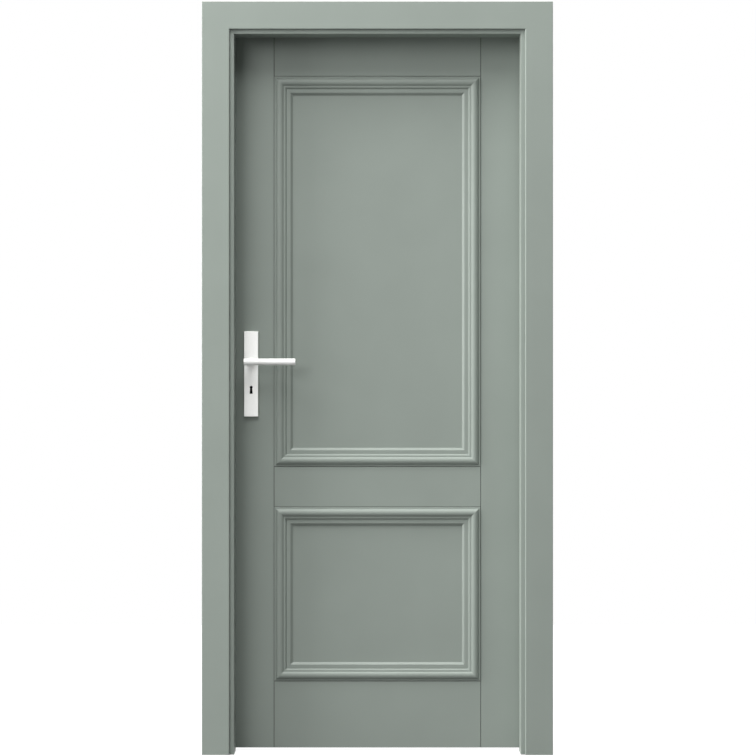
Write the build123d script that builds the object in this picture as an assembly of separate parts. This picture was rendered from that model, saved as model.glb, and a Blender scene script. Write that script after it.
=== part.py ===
from build123d import *
import os

# An interior door hung in an adjustable rebated frame, shut, seen from its push side along +Y.
# Millimetres. X runs to the right and Z up from the floor. While modelling, Y is the depth behind
# the front casings' face. save() then moves each piece so that the origin lies on the floor, in the
# middle of the door's width and of its depth from the front casing to the end of the back lever.

# Frame: the sizes of a door with an 806 mm clear opening
CLEAR_W = 806.0  # between the jambs
CLEAR_H = 2027.0  # from the floor to the head
WALL_T = 100.0  # wall that the casings clasp
CASING_T = 12.0
CASING_W = 78.0
CASING_SETBACK = 12.5  # front casing's inner edge, outward from the clear opening
CASING_ROUND = 3.0
TONGUE_T = 6.0  # front casing's tongue, which slides in the jamb
TONGUE_END = 60.0
GROOVE_PLAY = 0.2
GROOVE_END = 64.0
JAMB_T = 28.0
JAMB_FRONT = 8.0  # the jamb's front edge shows inside the casing
JAMB_ROUND = 2.0
STOP = 96.5  # depth of the stop's face, which the leaf shuts against
REBATE = 9.5  # step from the clear opening out to the rebate's face
BACK_CASING = CASING_T + WALL_T
FRAME_BACK = BACK_CASING + CASING_T
MITRE_REACH = 150.0

# Seal in the stop
SEAL_SLOT = (3.0, 6.0)  # span of the slot, outward from the clear opening
SEAL_SLOT_DEPTH = 6.0
SEAL_BULB = (1.6, 8.6)
SEAL_PROUD = 2.6

# Leaf: rebated on the pull side, so that a lip laps over the back casing
LEAF_W = 818.0
LIP_W = 844.0
LEAF_FOOT = 8.0
LEAF_TOP = 2033.0
LIP_TOP = 2046.0
LEAF_T = 40.0
LIP_T = 14.5
LEAF_FACE = 99.5
LEAF_BACK = LEAF_FACE + LEAF_T
LIP_FACE = LEAF_BACK - LIP_T
LEAF_MID = LEAF_FACE + LEAF_T / 2
EDGE_ROUND = 1.2
STILE_W = 115.0  # on the push side, as wide as the top and lock rails are high
BOTTOM_RAIL_TOP = 197.0
LOCK_RAIL_FOOT = 692.5
FLATS = 8  # sides of small pins and screws, whose round form and thread are left plain
JOINT_V = 1.0  # chamfer each side of a joint between stile, rail and moulding

# Panels float in grooves, and the rails' stub tongues fill the same grooves in the stiles
PANEL_RECESS = 9.0
PANEL_GROOVE = 10.0
PANEL_SEAT = 9.0
PANEL_PLAY = 0.1

# Moulding, as heights above the leaf's face at distances in from the opening's edge
MOULDING_W = 54.0
TORUS_START, TORUS_CREST, TORUS_END = 4.5, 16.0, 27.0
CREST_H = 8.5
LEDGE_END, LEDGE_H = 30.0, 2.0
FILLET_START, FILLET_END, FILLET_H = 35.5, 46.0, -2.5
THIN_EDGE = 0.8

# Dowels through the rails' tongues into the stiles
DOWEL_D = 10.0
DOWEL_L = 110.0
DOWEL_PLAY = 0.1

# Handle set: backset of 50 and 72 between the spindle and the keyhole
SPINDLE_X = -LEAF_W / 2 + 50.0
SPINDLE_Z = 1105.0
KEY_Z = SPINDLE_Z - 72.0
SPINDLE = 8.0
LEVER_REACH = 60.0  # from the leaf's face to the front of the grip
GRIP_D = 18.8
GRIP_HEAD_D = 19.6
GRIP_FROM, GRIP_HEAD_TO, GRIP_TO = -19.0, 19.0, 127.0  # along X from the spindle
NECK_D = 23.4
PLATE_W, PLATE_H, PLATE_T = 40.0, 242.0, 8.5
PLATE_WALL = 2.2
PLATE_BEVEL = 0.8
PLATE_MID_Z = 1071.0
PLATE_SCREW_SPACING = 215.0
PLATE_SCREW_D, PLATE_SCREW_HEAD_D = 5.0, 9.5
KEYHOLE_D, KEYHOLE_WAIST, KEYHOLE_FOOT, KEYHOLE_DROP = 8.6, 5.6, 8.8, 18.5

# Mortise lock
LOCK_Y = (LEAF_FACE + LIP_FACE) / 2
CASE_T, CASE_WALL = 16.0, 1.5
FOREND_T, FOREND_W = 3.0, 20.0
CASE_FROM, CASE_TO = -LEAF_W / 2 + FOREND_T, -LEAF_W / 2 + 80.0
CASE_FOOT, CASE_TOP = 990.0, 1155.0
FOREND_FOOT, FOREND_TOP = 955.0, 1190.0
HUB_D = 18.0
HUB_ARM = 16.5  # from the spindle's axis to the middle of the arm's round end
HUB_ARM_W = 6.0
HUB_T = 8.0
RUNNING_GAP = 0.3
LATCH_THROW = 11.0
LATCH_T = 12.0
LATCH_Z = (1107.0, 1135.0)
DEADBOLT_Z = (1041.0, 1069.0)
DEADBOLT_L = 62.0

# Strike plate on the latch jamb
STRIKE_T = 2.0
STRIKE_Z = (1005.0, 1170.0)
STRIKE_FRONT = 100.0
STRIKE_WING = 14.0
STRIKE_GAP = 4.0  # round each bolt
LATCH_POCKET = 13.5
WOOD_SCREW_D, WOOD_SCREW_HEAD_D = 4.0, 8.0

# Screw-in hinges: the upper half goes into the leaf's lip, the lower into the casing and jamb
HINGE_Z = (360.0, 1078.0, 1795.0)
HINGE_X = LIP_W / 2 + 9.0
HINGE_Y = (LIP_FACE + LEAF_BACK) / 2
BARREL_D, BARREL_H = 15.0, 30.0
BARREL_GAP = 0.5
HINGE_PIN_D, HINGE_PIN_L = 8.0, 22.0
HINGE_PIN_PLAY = 0.06
STEM_D, STEM_L = 7.8, 48.0
STEM_PLAY = 0.1
FRAME_STEM_TILT = 14.0  # degrees towards the leaf, to stay inside the jamb

CORNER_SCREW_D, CORNER_SCREW_HEAD_D, CORNER_SCREW_L = 4.5, 9.0, 70.0
CORNER_SCREW_OUT = 20.0  # outward from the clear opening
CORNER_SCREW_DEPTHS = (78.0, 104.0)
SCREW_PLAY = 0.05

HALF = CLEAR_W / 2
RAIL_END = LEAF_W / 2 - STILE_W
LOCK_RAIL_TOP = LOCK_RAIL_FOOT + STILE_W
TOP_RAIL_FOOT = LEAF_TOP - STILE_W
OPENINGS = {"upper": (LOCK_RAIL_TOP, TOP_RAIL_FOOT), "lower": (BOTTOM_RAIL_TOP, LOCK_RAIL_FOOT)}
DEPTH = LEAF_BACK + LEVER_REACH

os.makedirs("parts", exist_ok=True)


def save(name, shape):
    """Write one piece, moved from depths behind the casing to the door's own frame."""
    export_step(Pos(0, -DEPTH / 2, 0) * shape, f"parts/{name}.step")


def block(x, y, z):
    """Box between a pair of values on each axis."""
    middle = Pos((x[0] + x[1]) / 2, (y[0] + y[1]) / 2, (z[0] + z[1]) / 2)
    return middle * Box(abs(x[1] - x[0]), abs(y[1] - y[0]), abs(z[1] - z[0]))


def rod(start, direction, length, diameter):
    """Cylinder from a point along a direction."""
    return extrude(Plane(start, z_dir=direction) * Circle(diameter / 2), length)


def peg(start, direction, length, diameter, play=0.0):
    """Buried pin or stem, drawn with flats, or with play its hole."""
    return extrude(Plane(start, z_dir=direction) * RegularPolygon(diameter / 2 + play, FLATS), length + play)


def screw(start, direction, length, diameter, head_diameter, play=0.0):
    """Countersunk screw whose head's face is at start, drawn with flats, or with play its hole."""
    head_h = (head_diameter - diameter) / 2
    top = RegularPolygon(head_diameter / 2 + play, FLATS)
    foot = RegularPolygon(diameter / 2 + play, FLATS)
    head = loft([top, Pos(0, 0, head_h) * foot])
    shape = head + extrude(foot, length + play)
    if play:
        shape += extrude(top, -10 * play)
    return Plane(start, z_dir=direction) * shape


def screws(places):
    return group(screw(*place) for place in places)


def cut_screws(shape, places):
    """Shape with a hole for each screw."""
    for place in places:
        shape -= screw(*place, play=SCREW_PLAY)
    return shape


def prism_on_front(outline, y_from, y_to):
    """Solid with an outline drawn in X and Z, between two depths."""
    return extrude(Plane((0, y_to, 0), x_dir=(1, 0, 0), z_dir=(0, -1, 0)) * outline, y_to - y_from)


def group(solids):
    """Separate solids kept as one piece."""
    return Compound(children=list(solids))


def rounded(face, corners):
    """Round the outline's corners nearest to the given points: (x, y, radius)."""
    for x, y, radius in corners:
        corner = face.vertices().sort_by_distance((x, y, 0))[0]
        face = fillet(corner, radius)
    return face


# Frame members share one idea: a plan section, with its first coordinate outward from the clear
# opening and its second the depth, runs up the sides and across the head and is mitred at 45 degrees.


def mitre_region(side):
    """Space that a side or head member may fill, bounded by the mitre planes."""
    far = HALF + MITRE_REACH
    top = CLEAR_H + MITRE_REACH
    if side:
        corners = [(HALF, -1), (far, -1), (far, top), (HALF, CLEAR_H)]
    else:
        corners = [(-HALF, CLEAR_H), (HALF, CLEAR_H), (far, top), (-far, top)]
    return prism_on_front(Polygon(*corners, align=None), -50, 250)


def side_member(face):
    """Right-hand upright."""
    return extrude(Pos(HALF, 0, 0) * face, CLEAR_H + MITRE_REACH) & mitre_region(True)


def head_member(face):
    """Piece across the top."""
    across = Plane((0, 0, CLEAR_H), x_dir=(0, 0, 1), z_dir=(-1, 0, 0))
    return extrude(across * face, HALF + MITRE_REACH, both=True) & mitre_region(False)


def jamb_section():
    inner, outer = CASING_SETBACK - GROOVE_PLAY, CASING_SETBACK + TONGUE_T + GROOVE_PLAY
    shoulder = CASING_T + GROOVE_PLAY
    slot_end = STOP - SEAL_SLOT_DEPTH
    outline = Polygon(
        (0, JAMB_FRONT), (inner, JAMB_FRONT), (inner, GROOVE_END), (outer, GROOVE_END),
        (outer, shoulder), (JAMB_T, shoulder), (JAMB_T, BACK_CASING), (REBATE, BACK_CASING),
        (REBATE, STOP), (SEAL_SLOT[1], STOP), (SEAL_SLOT[1], slot_end), (SEAL_SLOT[0], slot_end),
        (SEAL_SLOT[0], STOP), (0, STOP), align=None,
    )
    return rounded(outline, [(0, JAMB_FRONT, JAMB_ROUND)])


def front_casing_section():
    inner, outer = CASING_SETBACK, CASING_SETBACK + CASING_W
    outline = Polygon(
        (inner, 0), (outer, 0), (outer, CASING_T), (inner + TONGUE_T, CASING_T),
        (inner + TONGUE_T, TONGUE_END), (inner, TONGUE_END), align=None,
    )
    return rounded(outline, [(inner, 0, CASING_ROUND), (outer, 0, CASING_ROUND / 2)])


def back_casing_section():
    inner, outer = REBATE, REBATE + CASING_W
    corners = [(inner, BACK_CASING), (outer, BACK_CASING), (outer, FRAME_BACK), (inner, FRAME_BACK)]
    outline = Polygon(*corners, align=None)
    return rounded(outline, [(inner, FRAME_BACK, CASING_ROUND / 2), (outer, FRAME_BACK, CASING_ROUND)])


def seal_section():
    """Barbed foot in the slot and a round bulb towards the leaf."""
    mid = sum(SEAL_SLOT) / 2
    foot = STOP - SEAL_SLOT_DEPTH + 0.5
    neck, barb = 0.8, 1.4
    bulb = Line((SEAL_BULB[0], STOP), (mid - neck, STOP))
    stem = Polyline(
        (mid - neck, STOP), (mid - neck, foot + 2), (mid - barb, foot + 2), (mid - neck / 2, foot),
        (mid + neck / 2, foot), (mid + barb, foot + 2), (mid + neck, foot + 2), (mid + neck, STOP),
    )
    base = Line((mid + neck, STOP), (SEAL_BULB[1], STOP))
    top = (sum(SEAL_BULB) / 2, STOP + SEAL_PROUD)
    crown = ThreePointArc((SEAL_BULB[1], STOP), top, (SEAL_BULB[0], STOP))
    return make_face([bulb, stem, base, crown])


def strike_openings(grow, depth_from, depth_to, x_from):
    """The two bolts' openings as blocks, cut out of the strike plate, the casing and the jamb."""
    y = (LOCK_Y - LATCH_T / 2 - 2 - grow, LOCK_Y + LATCH_T / 2 + 2 + grow)
    room = STRIKE_GAP + grow
    latch = block((x_from, depth_from), y, (LATCH_Z[0] - room, LATCH_Z[1] + room))
    bolt = block((x_from, depth_to), y, (DEADBOLT_Z[0] - room, DEADBOLT_Z[1] + room))
    return latch + bolt


REBATE_X = -(HALF + REBATE)  # rebate's face on the latch side
strike_plate_space = block((REBATE_X - STRIKE_T, REBATE_X + 1), (STRIKE_FRONT, FRAME_BACK), STRIKE_Z)
strike_plate_space += block(
    (REBATE_X - STRIKE_WING, REBATE_X + 1), (FRAME_BACK - STRIKE_T, FRAME_BACK), STRIKE_Z
)
strike_pockets = strike_openings(0.5, REBATE_X - LATCH_POCKET, -(HALF + JAMB_T) - 1, REBATE_X + 1)
STRIKE_SCREW_Z = (STRIKE_Z[0] + 12, STRIKE_Z[1] - 12)
strike_screws = [
    ((REBATE_X, LOCK_Y, z), (-1, 0, 0), 16, WOOD_SCREW_D, WOOD_SCREW_HEAD_D) for z in STRIKE_SCREW_Z
]
corner_screws = [
    (
        (side * (HALF + CORNER_SCREW_OUT), y, CLEAR_H + JAMB_T), (0, 0, -1),
        CORNER_SCREW_L, CORNER_SCREW_D, CORNER_SCREW_HEAD_D,
    )
    for side in (-1, 1)
    for y in CORNER_SCREW_DEPTHS
]


def hinge_stem(z, upper, play=0.0):
    """Stem of a hinge's half, from inside its barrel into the wood, or with play its hole."""
    angle = Vector(-1, 0, 0) if upper else Vector(0, -1, 0).rotate(Axis.Z, -FRAME_STEM_TILT)
    return peg((HINGE_X, HINGE_Y, z), angle, STEM_L, STEM_D, play)


def hinge_half(z, upper):
    """Barrel and stem; the lower half carries the pin, the upper half its bore."""
    way = 1 if upper else -1
    gap = way * BARREL_GAP / 2
    foot = Vector(HINGE_X, HINGE_Y, z + gap)
    barrel = rod(foot, (0, 0, way), BARREL_H, BARREL_D)
    stem = hinge_stem(z + gap + way * BARREL_H / 2, upper)
    if upper:
        bore = rod((HINGE_X, HINGE_Y, z), (0, 0, 1), HINGE_PIN_L + 1, HINGE_PIN_D + 2 * HINGE_PIN_PLAY)
        return (barrel + stem) - bore
    pin = rod((HINGE_X, HINGE_Y, z - BARREL_H / 2), (0, 0, 1), HINGE_PIN_L + BARREL_H / 2, HINGE_PIN_D)
    return barrel + stem + pin


def make_frame():
    jamb = side_member(jamb_section())
    mirror_x = Plane.YZ
    latch_jamb = mirror(jamb, mirror_x) - strike_plate_space - strike_pockets
    hinge_jamb = jamb
    head = head_member(jamb_section())
    latch_jamb = cut_screws(latch_jamb, corner_screws + strike_screws)
    hinge_jamb = cut_screws(hinge_jamb, corner_screws)
    head = cut_screws(head, corner_screws)
    back_right = side_member(back_casing_section())
    back_left = mirror(back_right, mirror_x) - strike_plate_space - strike_pockets
    back_left = cut_screws(back_left, strike_screws)
    for z in HINGE_Z:
        stem = hinge_stem(z - BARREL_GAP / 2 - BARREL_H / 2, False, STEM_PLAY)
        hinge_jamb -= stem
        back_right -= stem
    save("latch_jamb", latch_jamb)
    save("hinge_jamb", hinge_jamb)
    save("head_jamb", head)
    save("corner_screws", screws(corner_screws))
    front_right = side_member(front_casing_section())
    save("front_casing_right", front_right)
    save("front_casing_left", mirror(front_right, mirror_x))
    save("front_casing_head", head_member(front_casing_section()))
    save("back_casing_right", back_right)
    save("back_casing_left", back_left)
    save("back_casing_head", head_member(back_casing_section()))
    seal = side_member(seal_section())
    save("seal_right", seal)
    save("seal_left", mirror(seal, mirror_x))
    save("seal_head", head_member(seal_section()))


def make_strike():
    """Angle plate, let in flush, with openings for both bolts and two countersunk screws."""
    plate = block((REBATE_X - STRIKE_T, REBATE_X), (STRIKE_FRONT, FRAME_BACK), STRIKE_Z)
    plate += block((REBATE_X - STRIKE_WING, REBATE_X), (FRAME_BACK - STRIKE_T, FRAME_BACK), STRIKE_Z)
    plate -= strike_openings(0, REBATE_X - 5, REBATE_X - 5, REBATE_X + 1)
    save("strike_plate", cut_screws(plate, strike_screws))
    save("strike_screws", screws(strike_screws))


def stile():
    """Right-hand stile: rebated section with a groove, and the lip standing above the rest."""
    inner, edge, lip = RAIL_END, LEAF_W / 2, LIP_W / 2
    groove = (LEAF_FACE + PANEL_RECESS - PANEL_PLAY, LEAF_BACK - PANEL_RECESS + PANEL_PLAY)
    outline = Polygon(
        (inner, LEAF_FACE + JOINT_V), (inner + JOINT_V, LEAF_FACE), (edge, LEAF_FACE), (edge, LIP_FACE),
        (lip, LIP_FACE), (lip, LEAF_BACK), (inner + JOINT_V, LEAF_BACK), (inner, LEAF_BACK - JOINT_V),
        (inner, groove[1]), (inner + PANEL_GROOVE, groove[1]), (inner + PANEL_GROOVE, groove[0]),
        (inner, groove[0]), align=None,
    )
    corners = [(edge, LEAF_FACE, EDGE_ROUND), (lip, LEAF_BACK, EDGE_ROUND), (lip, LIP_FACE, EDGE_ROUND / 2)]
    outline = rounded(outline, corners)
    bar = extrude(Pos(0, 0, LEAF_FOOT) * outline, LIP_TOP - LEAF_FOOT)
    return bar - block((0, 500), (LEAF_FACE - 1, LIP_FACE), (LEAF_TOP, LIP_TOP + 1))


def rail(foot, top, grooves):
    """Rail between the stiles, with stub tongues, chamfered joints and a groove for each panel."""
    top_of_front = min(top, LEAF_TOP)
    body = block((-RAIL_END, RAIL_END), (LEAF_FACE, LEAF_BACK), (foot, top))
    outer_edges = [
        edge for edge in body.edges()
        if abs(edge.center().Y - LEAF_MID) > LEAF_T / 2 - 0.1
        and not (edge.center().Z < LEAF_FOOT + 1 or edge.center().Z > LEAF_TOP - 1)
    ]
    body = chamfer(outer_edges, JOINT_V)
    if top > LEAF_TOP:
        body -= block((-500, 500), (LEAF_FACE - 1, LIP_FACE), (LEAF_TOP, top + 1))
    tongue_y = (LEAF_FACE + PANEL_RECESS, LEAF_BACK - PANEL_RECESS)
    reach = RAIL_END + PANEL_GROOVE - 0.5
    body += block((-reach, reach), tongue_y, (foot, top_of_front))
    for z in grooves:
        body -= block((-500, 500), (tongue_y[0] - PANEL_PLAY, tongue_y[1] + PANEL_PLAY), z)
    return body


def dowel_places():
    """Heights of the dowels at each rail's ends."""
    heights = [BOTTOM_RAIL_TOP - 45, LEAF_FOOT + 40, LOCK_RAIL_FOOT + 35, LOCK_RAIL_TOP - 35]
    heights += [TOP_RAIL_FOOT + 35, TOP_RAIL_FOOT + 85]
    return [(side, z) for side in (-1, 1) for z in heights]


def dowel(side, z, play=0.0):
    """Beech dowel, half in the rail and half in the stile, or with play its hole."""
    start = (side * RAIL_END - DOWEL_L / 2 - play, LEAF_MID, z)
    return peg(start, (1, 0, 0), DOWEL_L + play, DOWEL_D, play)


def keyhole(y_from, y_to):
    """Round top and flared slot, cut through between two depths."""
    circle = Pos(SPINDLE_X, KEY_Z) * Circle(KEYHOLE_D / 2)
    foot = KEY_Z - KEYHOLE_DROP
    waist, flare = KEYHOLE_WAIST / 2, KEYHOLE_FOOT / 2
    slot = Polygon(
        (SPINDLE_X - waist, KEY_Z), (SPINDLE_X - flare, foot), (SPINDLE_X + flare, foot),
        (SPINDLE_X + waist, KEY_Z), align=None,
    )
    return prism_on_front(circle + slot, y_from, y_to)


PLATE_SCREW_Z = [PLATE_MID_Z + side * PLATE_SCREW_SPACING / 2 for side in (-1, 1)]
FOREND_SCREW_Z = (FOREND_FOOT + 8, FOREND_TOP - 8)
forend_screws = [
    ((-LEAF_W / 2, LOCK_Y, z), (1, 0, 0), 30, WOOD_SCREW_D, WOOD_SCREW_HEAD_D) for z in FOREND_SCREW_Z
]


def forend_blank(play=0.0):
    """Lock's edge plate, square at its ends."""
    y = (LOCK_Y - FOREND_W / 2 - play, LOCK_Y + FOREND_W / 2 + play)
    return block((-LEAF_W / 2, CASE_FROM), y, (FOREND_FOOT - play, FOREND_TOP + play))


def cut_lock_out(latch_stile):
    """Mortise for the lock, and the holes for the handle, key and screws, in the latch stile."""
    room = CASE_T / 2 + 0.6
    mortise_z = (CASE_FOOT - 1, CASE_TOP + 1)
    latch_stile -= block((CASE_FROM - 4, CASE_TO + 1), (LOCK_Y - room, LOCK_Y + room), mortise_z)
    latch_stile -= forend_blank(0.1)
    through = (LEAF_FACE - 1, LEAF_BACK + 1)
    latch_stile -= peg((SPINDLE_X, through[0], SPINDLE_Z), (0, 1, 0), LEAF_T + 2, 20)
    key_x = (SPINDLE_X - KEYHOLE_FOOT / 2 - 1.5, SPINDLE_X + KEYHOLE_FOOT / 2 + 1.5)
    key_z = (KEY_Z - KEYHOLE_DROP - 1.5, KEY_Z + KEYHOLE_D / 2 + 1.5)
    latch_stile -= block(key_x, through, key_z)
    for z in PLATE_SCREW_Z:
        latch_stile -= peg((SPINDLE_X, through[0], z), (0, 1, 0), LEAF_T + 2, 8.4)
    return cut_screws(latch_stile, forend_screws)


def make_leaf():
    hinge_stile = stile()
    latch_stile = cut_lock_out(mirror(stile(), Plane.YZ))
    grooves = {
        "under_upper": (LOCK_RAIL_TOP - PANEL_GROOVE, LOCK_RAIL_TOP + 1),
        "over_upper": (TOP_RAIL_FOOT - 1, TOP_RAIL_FOOT + PANEL_GROOVE),
        "under_lower": (BOTTOM_RAIL_TOP - PANEL_GROOVE, BOTTOM_RAIL_TOP + 1),
        "over_lower": (LOCK_RAIL_FOOT - 1, LOCK_RAIL_FOOT + PANEL_GROOVE),
    }
    rails = {
        "bottom_rail": rail(LEAF_FOOT, BOTTOM_RAIL_TOP, [grooves["under_lower"]]),
        "lock_rail": rail(LOCK_RAIL_FOOT, LOCK_RAIL_TOP, [grooves["over_lower"], grooves["under_upper"]]),
        "top_rail": rail(TOP_RAIL_FOOT, LIP_TOP, [grooves["over_upper"]]),
    }
    for side, z in dowel_places():
        hole = dowel(side, z, DOWEL_PLAY)
        if side > 0:
            hinge_stile -= hole
        else:
            latch_stile -= hole
        for name in rails:
            rails[name] -= hole
    for z in HINGE_Z:
        hinge_stile -= hinge_stem(z + BARREL_GAP / 2 + BARREL_H / 2, True, STEM_PLAY)
    save("hinge_stile", hinge_stile)
    save("latch_stile", latch_stile)
    for name, solid in rails.items():
        save(name, solid)
    save("dowels", group(dowel(side, z) for side, z in dowel_places()))
    for name, (foot, top) in OPENINGS.items():
        half = RAIL_END + PANEL_SEAT
        y = (LEAF_FACE + PANEL_RECESS, LEAF_BACK - PANEL_RECESS)
        save(f"{name}_panel", block((-half, half), y, (foot - PANEL_SEAT, top + PANEL_SEAT)))


def moulding_section():
    """Outline across a moulding: margin, torus, ledge, ovolo step, fillet and a bevel to the panel."""
    base = -PANEL_RECESS
    outer = Polyline((0, base), (0, -JOINT_V), (JOINT_V, 0), (TORUS_START, 0))
    torus = ThreePointArc((TORUS_START, 0), (TORUS_CREST, CREST_H), (TORUS_END, LEDGE_H))
    ledge = Line((TORUS_END, LEDGE_H), (LEDGE_END, LEDGE_H))
    middle = ((LEDGE_END + FILLET_START) / 2 + 0.7, (LEDGE_H + FILLET_H) / 2 + 0.8)
    step = ThreePointArc((LEDGE_END, LEDGE_H), middle, (FILLET_START, FILLET_H))
    inner = Polyline(
        (FILLET_START, FILLET_H), (FILLET_END, FILLET_H), (MOULDING_W, base + THIN_EDGE),
        (MOULDING_W, base), (0, base),
    )
    return make_face([outer, torus, ledge, step, inner])


def moulding(length):
    """Bar of that section along X, its outer edge on the X axis, mitred at both ends."""
    bar = extrude(Plane.YZ * moulding_section(), length)
    inner = length - MOULDING_W
    ends = Polygon((0, 0), (length, 0), (inner, MOULDING_W), (MOULDING_W, MOULDING_W), align=None)
    return bar & extrude(Pos(0, 0, -PANEL_RECESS - 1) * ends, PANEL_RECESS + CREST_H + 2)


def make_mouldings():
    """Four mitred bars round each panel, on both faces, placed in turn at the opening's corners."""
    for panel, (foot, top) in OPENINGS.items():
        for face, depth, normal in (("front", LEAF_FACE, -1), ("back", LEAF_BACK, 1)):
            near, far = normal * RAIL_END, -normal * RAIL_END
            runs = {
                "bottom": ((near, foot), (-normal, 0), 2 * RAIL_END),
                "side_a": ((far, foot), (0, 1), top - foot),
                "top": ((far, top), (normal, 0), 2 * RAIL_END),
                "side_b": ((near, top), (0, -1), top - foot),
            }
            for run, (corner, along, length) in runs.items():
                if run.startswith("side"):
                    run = "right" if corner[0] > 0 else "left"
                plane = Plane(
                    (corner[0], depth, corner[1]), x_dir=(along[0], 0, along[1]), z_dir=(0, normal, 0)
                )
                save(f"{panel}_moulding_{face}_{run}", plane * moulding(length))


def make_hinges():
    for number, z in enumerate(HINGE_Z, start=1):
        save(f"hinge_leaf_part_{number}", hinge_half(z, True))
        save(f"hinge_frame_part_{number}", hinge_half(z, False))


def make_lock():
    """Case with a lid, edge plate, follower, latch bolt and dead bolt."""
    y_front, y_back = LOCK_Y - CASE_T / 2, LOCK_Y + CASE_T / 2
    outer = block((CASE_FROM, CASE_TO), (y_front, y_back - CASE_WALL), (CASE_FOOT, CASE_TOP))
    inner = block(
        (CASE_FROM - 1, CASE_TO - CASE_WALL), (y_front + CASE_WALL, y_back),
        (CASE_FOOT + CASE_WALL, CASE_TOP - CASE_WALL),
    )
    hub_hole = rod((SPINDLE_X, y_front - 1, SPINDLE_Z), (0, 1, 0), CASE_T + 2, HUB_D + 2 * RUNNING_GAP)
    key_x = (SPINDLE_X - KEYHOLE_FOOT / 2 - 0.3, SPINDLE_X + KEYHOLE_FOOT / 2 + 0.3)
    key_z = (KEY_Z - KEYHOLE_DROP - 0.3, KEY_Z + KEYHOLE_D / 2 + 0.3)
    key_slot = block(key_x, (y_front - 1, y_back + 1), key_z)
    save("lock_case", outer - inner - hub_hole - key_slot)
    cover = block((CASE_FROM, CASE_TO), (y_back - CASE_WALL, y_back), (CASE_FOOT, CASE_TOP))
    save("lock_cover", cover - hub_hole - key_slot)

    forend = forend_blank()
    bolt_y = (LOCK_Y - LATCH_T / 2 - RUNNING_GAP, LOCK_Y + LATCH_T / 2 + RUNNING_GAP)
    for z in (LATCH_Z, DEADBOLT_Z):
        forend -= block(
            (-LEAF_W / 2 - 1, CASE_FROM + 1), bolt_y, (z[0] - RUNNING_GAP, z[1] + RUNNING_GAP)
        )
    save("lock_forend", cut_screws(forend, forend_screws))
    save("lock_screws", screws(forend_screws))

    centre = (SPINDLE_X, LOCK_Y, SPINDLE_Z)
    hub = rod((SPINDLE_X, y_front, SPINDLE_Z), (0, 1, 0), CASE_T, HUB_D)
    arm_y = (LOCK_Y - HUB_T / 2, LOCK_Y + HUB_T / 2)
    half_arm = HUB_ARM_W / 2
    hub += block((SPINDLE_X - half_arm, SPINDLE_X + half_arm), arm_y, (SPINDLE_Z, SPINDLE_Z + HUB_ARM))
    hub += rod((SPINDLE_X, arm_y[0], SPINDLE_Z + HUB_ARM), (0, 1, 0), HUB_T, HUB_ARM_W)
    hub -= Pos(*centre) * Box(SPINDLE + 0.2, CASE_T + 2, SPINDLE + 0.2)
    save("follower", hub)

    # The latch bolt's bevel faces the push side, and its tail hooks over the follower's arm.
    tip = -LEAF_W / 2 - LATCH_THROW
    head_back = tip + 30
    y_low, y_high = LOCK_Y - LATCH_T / 2, LOCK_Y + LATCH_T / 2
    head_outline = Polygon(
        (tip, y_high), (tip, y_high - 2.5), (tip + LATCH_THROW - 1.5, y_low), (head_back, y_low),
        (head_back, y_high), align=None,
    )
    latch = extrude(Pos(0, 0, LATCH_Z[0]) * head_outline, LATCH_Z[1] - LATCH_Z[0])
    tail_foot = SPINDLE_Z + HUB_ARM + half_arm + 1
    hook_x = SPINDLE_X + half_arm + RUNNING_GAP
    latch += block((head_back - 1, hook_x + 6), arm_y, (tail_foot, tail_foot + 8))
    latch += block((hook_x, hook_x + 6), arm_y, (SPINDLE_Z + 10.5, tail_foot + 1))
    save("latch_bolt", latch)

    bolt = block((-LEAF_W / 2, -LEAF_W / 2 + DEADBOLT_L), (y_low, y_high), DEADBOLT_Z)
    nose = bolt.edges().filter_by(Axis.Z).sort_by(Axis.X)[:2]
    bolt = fillet(nose, 1.5)
    notch_x = SPINDLE_X - 6
    bolt -= block((notch_x, notch_x + 14), (y_low - 1, y_high + 1), (DEADBOLT_Z[0] - 1, DEADBOLT_Z[0] + 6))
    save("dead_bolt", bolt)


def backplate(y_leaf, outward):
    """Long plate, cast hollow, with bosses round the lever's neck, the key and the screws."""
    y_face = y_leaf + outward * PLATE_T
    x_mid, z_mid = SPINDLE_X, PLATE_MID_Z
    plate = Pos(x_mid, (y_leaf + y_face) / 2, z_mid) * Box(PLATE_W, PLATE_T, PLATE_H)
    face_edges = plate.faces().sort_by(Axis.Y)[0 if outward < 0 else -1].edges()
    plate = chamfer(face_edges, PLATE_BEVEL)
    hollow = Pos(x_mid, (y_leaf + y_face) / 2 - outward * PLATE_WALL, z_mid) * Box(
        PLATE_W - 2 * PLATE_WALL, PLATE_T, PLATE_H - 2 * PLATE_WALL
    )
    bosses = Pos(SPINDLE_X, (y_leaf + y_face) / 2, SPINDLE_Z) * Box(NECK_D + 6, PLATE_T - 2, NECK_D + 6)
    key_middle = KEY_Z - KEYHOLE_DROP / 2 + 2
    bosses += Pos(SPINDLE_X, (y_leaf + y_face) / 2, key_middle) * Box(14, PLATE_T - 2, 30)
    bosses += [peg((SPINDLE_X, y_leaf, at), (0, outward, 0), PLATE_T - 1, 12) for at in PLATE_SCREW_Z]
    plate = plate - (hollow - bosses)
    bush_d = NECK_D + 2 * RUNNING_GAP
    plate -= rod((SPINDLE_X, y_leaf - outward, SPINDLE_Z), (0, outward, 0), PLATE_T + 2, bush_d)
    return plate - keyhole(min(y_leaf, y_face) - 1, max(y_leaf, y_face) + 1)


# Bolts from the back plate through the leaf into the front plate's posts
PLATE_SCREW_L = LEAF_T + PLATE_T + 3
plate_screws = [
    ((SPINDLE_X, LEAF_BACK + PLATE_T, z), (0, -1, 0), PLATE_SCREW_L, PLATE_SCREW_D, PLATE_SCREW_HEAD_D)
    for z in PLATE_SCREW_Z
]


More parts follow.
